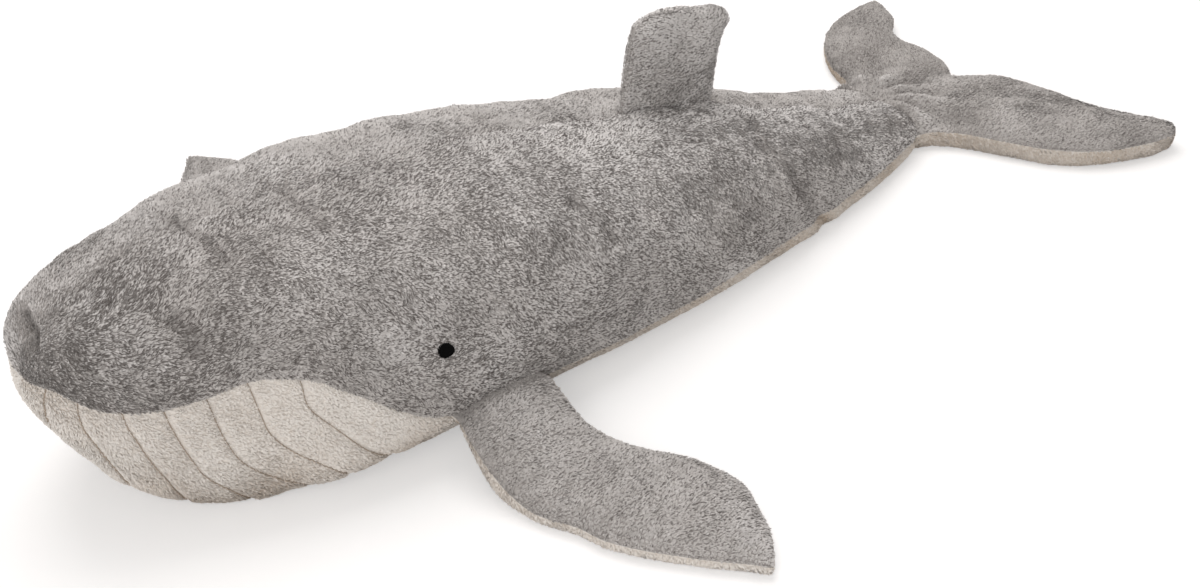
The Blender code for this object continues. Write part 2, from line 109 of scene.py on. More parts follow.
# The tail lies a little to the whale's left, as the photo shows
TAIL_SWAY = 0.0020
TAIL_SWAY_STATION_SHARE = 0.55
FLUKE_YAW = math.radians(4.6)

# Settling: the body is simulated as stuffed cloth on a coarse grid, whose wrinkles the skins take
SETTLE_ROWS = 100
SETTLE_TURNS = 100
SETTLE_ENDS = 0.03, 0.985
SETTLE_FRAMES = 20
SETTLE_PRESSURE = 4.0
SETTLE_STIFFNESS = 60
SETTLE_GROWTH = 0.006
SETTLE_ROUNDS = 14
SETTLE_MOST = 0.0016
SETTLE_HELD = 0.0004
SETTLE_SEAM_FADE = 0.3
SETTLE_THROAT_TURNS = 0.4, 0.3
THROAT_STATION_SHARE = 0.25

# Skin
SKIN_INSET = 0.0008
LIMB_INSET = 0.0014
FLOOR_GAP = 0.0006
SEAM_DIP = 0.0016
SEAM_REACH = 0.0050
LUMP_SIZE = 0.085
LUMP_HEIGHT = 0.0012
LUMP_SEED = 11
RUMPLE_SIZE = 0.026
RUMPLE_HEIGHT = 0.0005
RUMPLE_SEED = 12
CALM_SHARE = 0.8
CALM_STATIONS = 0.22, 0.12
CALM_TURNS = 0.7, 0.3
SKIN_STEP = 0.0026
SHORT_PILE = 0.45
SHORT_PILE_REACH = 0.0045
WADDING_INSET = 0.0026
LOWEST_WADDING = -math.inf, -math.inf, 2 * FLOOR_GAP

# How painted light and shade and the pile's length change over a side: by how much, from where, over
# what reach
RIGHT_REAR_SHADE = 0.10, 0.35, 0.4
LEFT_REAR_SHADE = 0.08, 0.05, 0.3
LEFT_LOW_SHADE = 0.13, 0.55, 0.4
LEFT_BACK_SHADE = 0.34, 0.36, 0.2
LEFT_BACK_TURNS = 0.75, 0.6
LEFT_TAIL_PART = 0.5, 0.80, 0.15
LONG_PILE = 0.3, 0.03, 0.16
CREASE_SHADE = 75
LIMB_UNDER_SHADE = 0.22
BELLY_LOW_DARKENING = 0.27
BELLY_LOW_DARKENING_HEIGHT = 0.070

# Pile: blades in tufts that lie along the nap, with dark blades between them as painted shade in the
# pits
PILE_LENGTH = 0.0025
PILE_LENGTH_RANGE = 0.8, 1.15
PILE_LEAST = 0.12
PILE_SPACING = 0.0014
PILE_BLADES = 3
PILE_LIFT = math.radians(32)
PILE_MOST = 95000
TUFT_RADIUS_SHARE = 0.68
TIP_SCATTER = 0.00025
BLADE_WIDTH = 0.00100
BLADE_BEND = 0.13
BLADE_ROLL = 0.18
# Blade tones from root to tip: the root is darker, painted shade
BLADE_TONES = 0.46, 0.53, 0.53, 0.58
TONE_SWING = 0.09
TONE_SCATTER = 0.07
CREAM_TONE_SHARE = 0.5
PIT_WIDTH = 0.00064
PIT_RISE = 0.00070
PIT_REACH = 1.35
PIT_PATCH = 0.045
PIT_CHANCES = 0.125, 0.11
PIT_TONE = 0.12
NAP_PATCH = 0.075
NAP_SWING = 0.30
NAP_SCATTER = 0.20
NAP_CURL = 0.016
LIFT_SCATTER = 0.12
NAP_DOWN = math.radians(82)
NAP_STATIONS = 0.12, 0.35
NAP_TURNS = 0.08, 0.40
MARK_SIZE = 0.017
MARK_WIDTH = 0.16
MARK_CHANCE = 0.35
PATCH_LEVEL = 0.45
BAKE_MAP = "OFBake"
TONE = "tone"

# Eyes
EYE_LENGTH = 0.0126
EYE_HEIGHT = 0.0100
EYE_STATION_SHARE = 0.288
EYE_HEIGHT_SHARE = 0.521
EYE_THREADS = 13
EYE_RISE = 0.0016
EYE_CLEAR_SHARE = 0.42

# Flippers. An outline is stations along a limb, then its front and rear edges, all as shares
FLIPPER_LENGTH = 0.218
FLIPPER_CHORD = 0.108
FLIPPER_EDGE_HEIGHT = 0.0090
FLIPPER_NAP = math.radians(65)
FLIPPER_OUTLINE = (
    (0.0, 0.10, 0.21, 0.30, 0.40, 0.50, 0.60, 0.70, 0.80, 0.88, 0.95, 1.0),
    (0.0, -0.05, -0.065, -0.045, 0.0, 0.09, 0.135, 0.24, 0.38, 0.50, 0.62, 0.69),
    (0.73, 0.70, 0.71, 0.80, 0.92, 1.05, 1.10, 1.11, 1.02, 0.94, 0.83, 0.73))

# Dorsal fin
FIN_CHORD = 0.100
FIN_HEIGHT = 0.072
FIN_NAP = math.radians(40)
FIN_OUTLINE = (
    (0.0, 0.35, 0.60, 0.75, 0.85, 0.93, 0.97, 1.0),
    (0.0, -0.02, -0.025, -0.015, 0.01, 0.12, 0.24, 0.50),
    (1.0, 0.97, 0.96, 0.975, 1.01, 0.97, 0.92, 0.83))

# Flukes
FLUKE_SPAN = 0.370
FLUKE_LENGTH = 0.178
FLUKE_EDGE_HEIGHT = 0.0170
RIGHT_FLUKE_DROP = 0.0070
RIGHT_FLUKE_SHADE = 0.14
GATHER_HEIGHT = 0.0055
GATHER_SHADE = 40
GATHER_BACK = 0.028
GATHER_FOLDS = 13
GATHER_START = 0.014, 0.03
GATHER_REACH = 0.085
FLUKE_NAP = math.radians(50)
FLUKE_OUTLINE = (
    (0.0, 0.10, 0.19, 0.27, 0.38, 0.58, 0.78, 0.88, 0.96, 1.0),
    (0.0, 0.0, 0.0, 0.0, 0.10, 0.22, 0.36, 0.48, 0.66, 0.82),
    (0.578, 0.70, 0.735, 0.77, 0.79, 0.84, 0.93, 0.98, 1.0, 0.95))

# The right fluke is drawn in a little more along its rear edge, as the photo shows
RIGHT_FLUKE_OUTLINE = (
    (0.0, 0.05, 0.10, 0.19, 0.27, 0.38, 0.58, 0.68, 0.78, 0.88, 0.96, 1.0),
    (0.0, 0.0, 0.0, 0.0, 0.03, 0.09, 0.17, 0.235, 0.325, 0.45, 0.63, 0.80),
    (0.578, 0.515, 0.555, 0.615, 0.645, 0.672, 0.684, 0.735, 0.845, 0.895, 0.925, 0.93))

# Limbs: half the root's height, how far the skins reach into the body, and how they round off
ROOT_HALF_HEIGHT = 0.0060
ROOT_HIDDEN = 0.012
ROOT_REACH = 0.060
ROOT_CREASE = 0.0060
ROOT_SHADE = 0.30
ROOT_SHADE_REACH = 0.003
FLIPPER_DROOP = 0.38
FLIPPER_TOP_SWELL = 0.0150
FIN_SWELL = 0.0095
FLUKE_TOP_SWELL = 0.0135
FLUKE_HIDDEN = 0.030
FLUKE_NECK_SHARE = 0.30
FLUKE_NECK_BLEND_SHARE = 0.06
NECK_COVER = 0.0220
NECK_PROUD = 0.0010
NECK_DIVE = 0.0070
NECK_FADE = -0.004, 0.050
NECK_ROUND = 0.012
ALMOST = 1 - 1e-9
TOP_REACH = 0.045
UNDER_REACH = 0.012
UNDER_BULGE = 0.0020
FLAT_EDGE = 0.010


def through(stations, values, place):
    """A smooth curve through given points, read at an array of places."""
    stations, values = np.asarray(stations, float), np.asarray(values, float)
    steps = np.diff(stations)
    rises = np.diff(values) / steps
    slopes = np.empty_like(values)
    slopes[1:-1] = (rises[:-1] * steps[1:] + rises[1:] * steps[:-1]) / (steps[:-1] + steps[1:])
    slopes[0], slopes[-1] = rises[0], rises[-1]
    span = np.clip(np.searchsorted(stations, place) - 1, 0, len(steps) - 1)
    part = (place - stations[span]) / steps[span]
    curve = (2 * part**3 - 3 * part**2 + 1) * values[span]
    curve = curve + (part**3 - 2 * part**2 + part) * steps[span] * slopes[span]
    curve = curve + (3 * part**2 - 2 * part**3) * values[span + 1]
    return curve + (part**3 - part**2) * steps[span] * slopes[span + 1]


def smooth(part):
    part = np.clip(part, 0, 1)
    return part * part * (3 - 2 * part)


def rising(value, start, reach):
    """0 up to the start, then up to 1 over the reach."""
    return smooth((value - start) / reach)


def fade(value, amount, start, reach):
    return amount * rising(value, start, reach)


def unit(vectors):
    return vectors / np.maximum(np.linalg.norm(vectors, axis=-1, keepdims=True), 1e-12)


def lengths(vectors):
    return np.linalg.norm(vectors, axis=-1)


def ripple(points, size, seed, waves=9):
    """A smooth random field of about -1 to 1 over space, made of plane waves."""
    random = np.random.default_rng(seed)
    total = np.zeros(points.shape[:-1])
    for _ in range(waves):
        wave = random.normal(size=3)
        wave *= math.tau / size * random.uniform(0.6, 1.5) / np.linalg.norm(wave)
        total += np.sin(points @ wave + random.uniform(0, math.tau))
    return total / math.sqrt(waves)


def between(values, top, left, beside, down, right):
    """Values of a grid read between its rows and columns."""
    upper = values[top, left] * (1 - right) + values[top, beside] * right
    lower = values[top + 1, left] * (1 - right) + values[top + 1, beside] * right
    return upper * (1 - down) + lower * down


# The body as a table of points by place along it and by turn round it

SNOUT_X = float(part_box("left_side_panel")[0][0])
JOINTS = {joint["name"]: joint for joint in frame["record"]["behaviour"]["joints"]}
TABLE_PLACES = 700
TABLE_TURNS = 161
BODY_ENDS = 0.0004, 0.9995


def cell_of(share, count):
    """The cell of a line of grid points where a share of it lies, and how far into the cell."""
    spot = share * (count - 1)
    cell = np.minimum(spot.astype(int), count - 2)
    return cell, spot - cell


def place_of(station):
    return 2 / math.pi * np.arcsin(np.sqrt(station))


def station_of(place):
    return np.sin(math.pi / 2 * place) ** 2


def station_at(points):
    """How far back points lie, as a share of the body's length."""
    return (points[..., 0] - SNOUT_X) / BODY_LENGTH


PLEAT_PLACES = place_of(np.array(PLEAT_STATION_SHARES))


def body_table():
    """Points of the left side. Turn 0 is the back seam, 1 the belly seam, 2 the belly's middle."""
    places = np.linspace(0, 1, TABLE_PLACES)
    turns = np.linspace(0, 2, TABLE_TURNS)
    stations = place_of(np.array(STATION_SHARES))
    angle = np.linspace(0, math.pi, 361)
    table = np.empty((TABLE_PLACES, TABLE_TURNS, 3))
    seam_stations = place_of(np.array(SEAM_STATION_SHARES))
    for row, place in zip(table, places):
        half_width = BODY_WIDTH / 2 * through(stations, HALF_WIDTH_SHARES, place)
        top, bottom, widest = (BODY_HEIGHT * through(stations, shares, place)
                               for shares in (TOP_SHARES, BOTTOM_SHARES, WIDEST_SHARES))
        seam = BODY_HEIGHT * through(seam_stations, SEAM_HEIGHT_SHARES, place)
        y = -half_width * np.sin(angle) ** SIDE_FULLNESS_SHARE
        reach = np.where(angle < math.pi / 2, top - widest, bottom - widest)
        z = widest + reach * np.abs(np.cos(angle)) ** CROWN_FULLNESS_SHARE
        arc = np.concatenate(([0], np.cumsum(np.hypot(np.diff(y), np.diff(z)))))
        seam_arc = np.interp(-seam, -z, arc)
        arcs = np.where(turns < 1, turns * seam_arc, seam_arc + (turns - 1) * (arc[-1] - seam_arc))
        row[:, 0] = SNOUT_X + BODY_LENGTH * station_of(place)
        row[:, 1] = np.interp(arcs, arc, y)
        row[:, 2] = np.interp(arcs, arc, z)
    return table


BODY_TABLE = body_table()


def body_point(place, turn):
    """Points of the body at any turns from -2 to 4: the right side mirrors the left."""
    place, turn = np.broadcast_arrays(np.asarray(place, float), np.asarray(turn, float))
    turn = (turn + 2) % 4 - 2
    top, down = cell_of(np.clip(place, 0, 1), TABLE_PLACES)
    left, right = cell_of(np.abs(turn) / 2, TABLE_TURNS)
    points = between(BODY_TABLE, top, left, left + 1, down[..., None], right[..., None])
    points[..., 1] *= np.where(turn < 0, -1, 1)
    return points


def swept(place, turn):
    """Places of a grid whose rings lean back under the jaw, as the throat pleats do."""
    station, under = station_of(place[:, 0]), 2 - np.abs(np.clip(turn[0], 1, 3) - 2)
    along = [through(LEAN_STATION_SHARES, knot, station) for knot in np.eye(len(LEAN_STATION_SHARES))]
    around = [through(LEAN_TURNS, knot, under) for knot in np.eye(len(LEAN_TURNS))]
    lean = np.array(along).T @ LEAN_SHARES @ np.array(around)
    return place_of(np.clip(station[:, None] + lean, 0, 1))


def swayed(points):
    """Move the rear of the body sideways to where the tail lies."""
    part = rising(station_at(points), TAIL_SWAY_STATION_SHARE, 1 - TAIL_SWAY_STATION_SHARE)
    return points - TAIL_SWAY * part[..., None] * (0, 1, 0)


def turn_at(place, height):
    """The turn at which the left side reaches a height."""
    turns = np.linspace(0, 2, TABLE_TURNS)
    return float(np.interp(-height, -body_point(place, turns)[:, 2], turns))


# Surfaces

class Surface:
    """A grid of points with normals, the nap's flow, how much pile grows and how much lighter or
    darker its pile is painted, mostly painted light and shade.
    """

    def __init__(self, points, nap_angle=0.0, outward=1):
        self.points = points
        self.outward = outward
        along, across = np.gradient(points, axis=0), np.gradient(points, axis=1)
        self.normals = unit(np.cross(across, along)) * outward
        angle = np.broadcast_to(nap_angle, points.shape[:2])[..., None]
        self.flow = unit(unit(along) * np.cos(angle) + unit(across) * np.sin(angle))
        self.growth = np.ones(points.shape[:2])
        self.shade = np.zeros(points.shape[:2])

    def press(self, depth):
        """Push the surface in along its normals and flatten it on the floor."""
        self.points = self.points - self.normals * depth[..., None]
        self.points[..., 2] = np.maximum(self.points[..., 2], FLOOR_GAP)
        self.inside = self.points - self.normals * WADDING_INSET

    def sway(self):
        self.points, self.inside = swayed(self.points), swayed(self.inside)

    def turn(self, pivot, angle):
        """Turn the surface about a vertical line."""
        cos, sin = math.cos(angle), math.sin(angle)
        spin = np.array(((cos, -sin, 0), (sin, cos, 0), (0, 0, 1)))
        self.points = (self.points - pivot) @ spin + pivot
        self.inside = (self.inside - pivot) @ spin + pivot
        self.normals, self.flow = self.normals @ spin, self.flow @ spin

    def edge_distance(self):
        """How far each point is from the surface's first and last column."""
        steps = lengths(np.diff(self.points, axis=1))
        run = np.concatenate((np.zeros((len(steps), 1)), np.cumsum(steps, axis=1)), axis=1)
        return np.minimum(run, run[:, -1:] - run)

    def scatter(self, spacing, random):
        """Random places, about one for each square of that spacing, with what is read there."""
        spots = self.points
        cross = np.cross(spots[1:, 1:] - spots[:-1, :-1], spots[:-1, 1:] - spots[1:, :-1])
        area = (lengths(cross) / 2).ravel()
        total = np.cumsum(area)
        count = int(total[-1] / spacing**2)
        picks = (np.arange(count) + random.random(count)) / count * total[-1]
        cell = np.minimum(np.searchsorted(total, picks), len(area) - 1)
        row, column = np.divmod(cell, self.points.shape[1] - 1)
        down, right = random.random((count, 1)), random.random((count, 1))

        def read(values):
            return between(values, row, column, column + 1, down, right)

        return (read(self.points), unit(read(self.normals)), unit(read(self.flow)),
                read(self.growth[..., None])[:, 0], read(self.shade[..., None])[:, 0])


def placed(name, data):
    """A new object in the scene."""
    item = bpy.data.objects.new(name, data)
    SCENE.collection.objects.link(item)
    return item


def new_mesh(name, points, faces, look, body, slot, places=None):
    """A mesh object from points, faces with equal corner counts, and places in its map."""
    mesh = bpy.data.meshes.new(name)
    mesh.vertices.add(len(points))
    mesh.vertices.foreach_set("co", flat(points))
    mesh.loops.add(faces.size)
    mesh.loops.foreach_set("vertex_index", flat(faces, np.int32))
    mesh.polygons.add(len(faces))
    mesh.polygons.foreach_set("loop_start", np.arange(0, faces.size, faces.shape[1], dtype=np.int32))
    mesh.update(calc_edges=True)
    mesh.shade_smooth()
    mesh.materials.append(look)
    if places is not None:
        layer = mesh.uv_layers.new(name=BAKE_MAP)
        layer.uv.foreach_set("vector", flat(places[faces]))
    piece = placed(name, mesh)
    if isinstance(body, tuple):
        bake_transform(piece)
    else:
        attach(piece, body)
    return piece


def steps_in(size, finer=1):
    """How many grid steps a size takes."""
    return int(size / SKIN_STEP * finer)


def grid_faces(rows, columns, outward):
    """Faces of a grid of points, turned outwards."""
    start = (np.arange(rows - 1)[:, None] * columns + np.arange(columns - 1)).ravel()
    faces = np.stack((start, start + columns, start + columns + 1, start + 1), axis=1)
    return faces[:, ::-outward]


def ring_faces(rings, sides):
    """Faces of a row of closed rings of points."""
    row, side = np.divmod(np.arange((rings - 1) * sides), sides)
    here, there = row * sides + side, row * sides + (side + 1) % sides
    return np.stack((here, there, there + sides, here + sides), axis=1)


def flat(values, kind=np.float32):
    return np.ascontiguousarray(values, kind).ravel()


def add_skin(name, surface, body, node, slot):
    """The woven back of the plush, which replaces a panel of the model."""
    rows, columns = surface.points.shape[:2]
    faces = grid_faces(rows, columns, surface.outward)
    down, right = np.meshgrid(np.linspace(0, 1, rows), np.linspace(0, 1, columns), indexing="ij")
    places = np.stack((down, right), axis=2).reshape(-1, 2)
    points = surface.points.reshape(-1, 3)
    piece = new_mesh(name, points, faces, LOOKS[slot][0], body, slot, places)
    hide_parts(node)


def add_pile(name, surface, body, slot, seed, shade, curl, pits):
    """Pile as clumps of bent blades whose tips draw together, lying along the nap."""
    even = CREAM_TONE_SHARE if slot == "cream_plush" else 1.0
    random = np.random.default_rng(seed)
    tufts = surface.scatter(PILE_SPACING, random)
    kept = tufts[3] > PILE_LEAST
    order = np.argsort(tufts[0][kept, 0], kind="stable")
    point, normal, flow, growth, light = (values[kept][order] for values in tufts)
    count = len(point)
    shape = count, PILE_BLADES, 1

    def field(size, number):
        return ripple(point, size, seed + number)

    # Dark marks where the pile parts, along thin broken lines: the pile is shorter there, and dark
    # blades are painted shade
    line = np.abs(field(MARK_SIZE, 4)) / MARK_WIDTH
    broken = smooth(field(MARK_SIZE * 0.8, 5) * 1.2)
    parting = np.exp(-line**2) * broken * smooth(PATCH_LEVEL + field(NAP_PATCH, 6))

    turn = NAP_SWING * field(NAP_PATCH, 0) + curl * field(NAP_CURL, 1)
    turn = (turn + random.normal(0, NAP_SCATTER, count))[:, None]
    flow = unit(flow - normal * np.sum(flow * normal, axis=1, keepdims=True))
    across = np.cross(normal, flow)
    flow, across = (flow * np.cos(turn) + across * np.sin(turn),
                    across * np.cos(turn) - flow * np.sin(turn))
    lift = 1 + LIFT_SCATTER * field(NAP_CURL, 2) + random.normal(0, LIFT_SCATTER, count)
    rise = PILE_LIFT * lift[:, None]
    reach = PILE_LENGTH * growth * (1 - MARK_CHANCE * parting)
    reach = (reach * random.uniform(*PILE_LENGTH_RANGE, count))[:, None]
    tip = point + (flow * np.cos(rise) + normal * np.sin(rise)) * reach

    # Pits between the tufts: thin dark blades as painted shade, closer together in patches
    radius = PILE_SPACING * TUFT_RADIUS_SHARE * np.sqrt(random.random(shape))
    angle = random.uniform(0, math.tau, shape)
    chance = PIT_CHANCES[0] + PIT_CHANCES[1] * smooth(PATCH_LEVEL + 0.8 * field(PIT_PATCH, 7))
    chance = np.maximum(pits * growth**2 * chance, MARK_CHANCE * parting * pits)
    pitted = random.random(shape) < chance[:, None, None]

    offset = radius * (np.cos(angle) * flow[:, None] + np.sin(angle) * across[:, None])
    up = normal[:, None]
    root = point[:, None] + offset - up * np.where(pitted, -PIT_RISE, 0.0001)
    end = tip[:, None] + offset * 0.5 + random.normal(0, TIP_SCATTER, (count, PILE_BLADES, 3))
    end = root + (end - root) * np.where(pitted, PIT_REACH, 1)
    middle = (root + end) / 2 + up * reach[:, None] * BLADE_BEND
    roll = up + random.normal(0, BLADE_ROLL, (count, PILE_BLADES, 3))
    side = unit(np.cross(end - root, roll)) * np.where(pitted, PIT_WIDTH, BLADE_WIDTH) / 2
    corners = np.stack((root, middle - side, middle + side, end), axis=2)
    corners[..., 2] = np.maximum(corners[..., 2], FLOOR_GAP / 2)

    tone = TONE_SWING * field(NAP_PATCH, 3) + random.normal(0, TONE_SCATTER, count)
    tone = (shade + light + even * tone)[:, None, None]
    tone = tone + even * random.normal(0, TONE_SCATTER, shape) + np.array(BLADE_TONES)
    tone = np.where(pitted, PIT_TONE * random.random(shape), tone)
    blades, tones = corners.reshape(-1, 4, 3), tone.reshape(-1, 4)
    parts = math.ceil(len(blades) / PILE_MOST)
    pieces = zip(np.array_split(blades, parts), np.array_split(tones, parts))
    for number, (some, colours) in enumerate(pieces, 1):
        first = np.arange(0, len(some) * 4, 4)[:, None]
        faces = np.concatenate([first + corners for corners in ((0, 2, 1), (1, 2, 3))])
        part = f"{name}_{number}" if parts > 1 else name
        places = blade_places(len(some))
        piece = new_mesh(part, some.reshape(-1, 3), faces, LOOKS[slot][1], body, slot, places)
        stored = piece.data.attributes.new(TONE, "FLOAT", "POINT")
        stored.data.foreach_set("value", flat(colours))


def blade_places(count):
    """A cell of the map for each blade."""
    side = math.ceil(math.sqrt(count))
    row, column = np.divmod(np.arange(count), side)
    cell = np.array(((0.5, 0.1), (0.15, 0.5), (0.85, 0.5), (0.5, 0.9)))
    return ((np.stack((column, row), axis=1)[:, None] + cell) / side).reshape(-1, 2)


# Materials: sizes of the patterns, as Blender's texture scales

PATCH_SCALE = 22
LOOP_SCALE = 700
FLUFF_SCALE = 160
TWIST_SCALE = 900


def emptied_tree(owner):
    owner.use_nodes = True
    owner.node_tree.nodes.clear()
    return owner.node_tree


def add_node(tree, kind, output=None, inputs=(), **settings):
    """A shader node's output. Each input is a value or the output that feeds it."""
    node = tree.nodes.new(f"ShaderNode{kind}")
    for name, value in settings.items():
        setattr(node, name, value)
    for name, value in dict(inputs).items():
        if isinstance(value, bpy.types.NodeSocket):
            tree.links.new(value, node.inputs[name])
        else:
            node.inputs[name].default_value = value
    return node.outputs[output] if output else node


def texture(tree, kind, output, scale, **inputs):
    """A procedural texture, placed by the piece's own coordinates."""
    place = add_node(tree, "TexCoord", "Object")
    return add_node(tree, kind, output, {"Vector": place, "Scale": scale, **inputs})


def ramp_colour(tree, value, stops):
    """The colour that a value picks between stops, each a place and a colour."""
    ramp = add_node(tree, "ValToRGB", None, {"Fac": value})
    elements = ramp.color_ramp.elements
    elements.remove(elements[1])
    elements[0].position, elements[0].color = stops[0][0], (*stops[0][1], 1)
    for place, colour in stops[1:]:
        elements.new(place).color = (*colour, 1)
    return ramp.outputs["Color"]


def bump(tree, height, strength, distance):
    inputs = {"Strength": strength, "Distance": distance, "Height": height}
    return add_node(tree, "Bump", "Normal", inputs)


def finished(material, tree, inputs):
    shader = add_node(tree, "BsdfPrincipled", "BSDF", inputs)
    add_node(tree, "OutputMaterial", None, {"Surface": shader})
    return material


def new_material(name):
    material = bpy.data.materials.new(name)
    return material, emptied_tree(material)


def pile_look(name, deep, middle, light, uneven):
    """Fibre colours from root to tip, darker at the root as painted shade, with soft patches as if
    brushed.
    """
    material, tree = new_material(name)
    tone = add_node(tree, "Attribute", "Fac", attribute_name=TONE)
    patches = texture(tree, "TexNoise", "Fac", PATCH_SCALE, Detail=3)
    shade = add_node(tree, "MapRange", "Result",
                     {"Value": patches, "To Min": 1 - uneven, "To Max": 1 + uneven})
    fibre = ramp_colour(tree, tone, ((0.0, deep), (0.5, middle), (1.0, light)))
    tint = add_node(tree, "Mix", "Result", {"Factor": 1.0, "A": fibre, "B": shade},
                    data_type="RGBA", blend_type="MULTIPLY")
    return finished(material, tree, {
        "Base Color": tint, "Roughness": 0.85, "Specular IOR Level": 0.25,
        "Sheen Weight": 0.25, "Sheen Roughness": 0.45})


def backing_look(name, light, dark):
    """The knitted back of the plush, seen between tufts: fine loops and uneven dye."""
    material, tree = new_material(name)
    fluff = texture(tree, "TexNoise", "Fac", FLUFF_SCALE, Detail=4)
    loops = bump(tree, texture(tree, "TexVoronoi", "Distance", LOOP_SCALE), 0.5, 0.0004)
    dye = ramp_colour(tree, fluff, ((0.3, dark), (0.7, light)))
    return finished(material, tree, {"Base Color": dye, "Roughness": 0.95, "Normal": loops})


def thread_look(name, colour, roughness, gloss):
    """Twisted thread: fine ridges along a slant, over an even dye."""
    material, tree = new_material(name)
    twist = texture(tree, "TexWave", "Fac", TWIST_SCALE, Distortion=1.5)
    twist.node.bands_direction = "DIAGONAL"
    return finished(material, tree, {
        "Base Color": (*colour, 1), "Roughness": roughness,
        "Specular IOR Level": gloss, "Normal": bump(tree, twist, 0.4, 0.0001)})


LOOKS = {
    "grey_plush": (
        # The grey backing is darker than its pile: painted shade between the tufts
        backing_look("grey_backing", (0.44, 0.41, 0.392), (0.34, 0.315, 0.30)),
        pile_look("grey_pile", (0.10, 0.086, 0.079), (0.50, 0.468, 0.448),
                  (0.72, 0.69, 0.675), 0.13)),
    "cream_plush": (
        backing_look("cream_backing", (0.80, 0.75, 0.70), (0.74, 0.68, 0.62)),
        pile_look("cream_pile", (0.45, 0.345, 0.25), (0.80, 0.75, 0.70),
                  (0.92, 0.89, 0.85), 0.04))}
WADDING = backing_look("wadding", (0.86, 0.86, 0.84), (0.74, 0.74, 0.72))
BLACK_THREAD = thread_look("black_thread", (0.0018, 0.0016, 0.0016), 0.7, 0.05)
PLEAT_THREAD = thread_look("pleat_thread", (0.40, 0.31, 0.235), 0.8, 0.3)


# Body

# Folds of the plush over the filling, on the whale's left side: points as shares of the body's
# length, half width and height, then how deep and how wide the fold is
FOLDS = (
    (((0.244, -0.04, 1.0), (0.241, -0.417, 0.96)), 0.0032, 0.0060),
    (((0.464, -0.678, 0.751), (0.486, -0.851, 0.591)), 0.0032, 0.0060),
    (((0.745, 0.08, 0.566), (0.726, -0.485, 0.529), (0.745, -0.713, 0.318), (0.793, -0.69, 0.05)),
     0.0034, 0.0075),
    (((0.021, 0.14, 0.85), (0.015, -0.04, 0.828), (0.014, -0.09, 0.79)), 0.0065, 0.0048),
    (((0.028, -0.04, 0.868), (0.037, -0.09, 0.887), (0.043, -0.21, 0.881)), 0.0022, 0.0040),
    (((0.029, -0.27, 0.825), (0.030, -0.36, 0.78)), 0.0022, 0.0050),
    (((0.099, -0.47, 0.86), (0.103, -0.58, 0.788)), 0.0040, 0.0080),
    (((0.059, -0.04, 0.925), (0.082, 0.02, 0.96), (0.105, 0.03, 0.972)), 0.0030, 0.0035),
    (((0.152, 0.089, 0.989), (0.156, -0.156, 0.987), (0.155, -0.363, 0.954)), 0.0034, 0.0060),
)


# Sewn roots of limbs: the joint, the seam's length, and how deep and wide it draws the body in
ROOTS = (("left_flipper_raise", 0.079, 0.0045, 0.0032), ("dorsal_fin_lean", 0.100, 0.0016, 0.0045))


def fold_depth(points, swelling=0.3):
    """How far the folds draw each point in, with a low swelling beside each."""
    depth = np.zeros(points.shape[:2])
    scale = np.array((BODY_LENGTH, BODY_WIDTH / 2, BODY_HEIGHT))
    for line, deep, wide in FOLDS:
        line = np.array(line) * scale + np.array((SNOUT_X, 0, 0))
        away = np.full(depth.shape, np.inf)
        for start, end in zip(line[:-1], line[1:]):
            part = np.clip((points - start) @ (end - start) / np.sum((end - start) ** 2), 0, 1)
            away = np.minimum(away, lengths(points - start - part[..., None] * (end - start)))
        beside = swelling * np.exp(-((away - 2 * wide) / wide) ** 2)
        depth += deep * (np.exp(-(away / wide) ** 2) - beside)
    return depth


def root_depth(points):
    """How far the seams of the flippers and the dorsal fin draw the body in."""
    either = np.stack((points[..., 0], -np.abs(points[..., 1]), points[..., 2]), axis=2)
    depth = np.zeros(points.shape[:2])
    for joint, length, deep, wide in ROOTS:
        start = np.array(JOINTS[joint]["pos_m"])
        ahead = np.array(JOINTS[joint]["axis"]) * np.sign(JOINTS[joint]["axis"][0])
        run = np.clip((either - start) @ ahead, 0, length)
        away = lengths(either - start - run[..., None] * ahead)
        depth += deep * np.exp(-(away / wide) ** 2)
    return depth


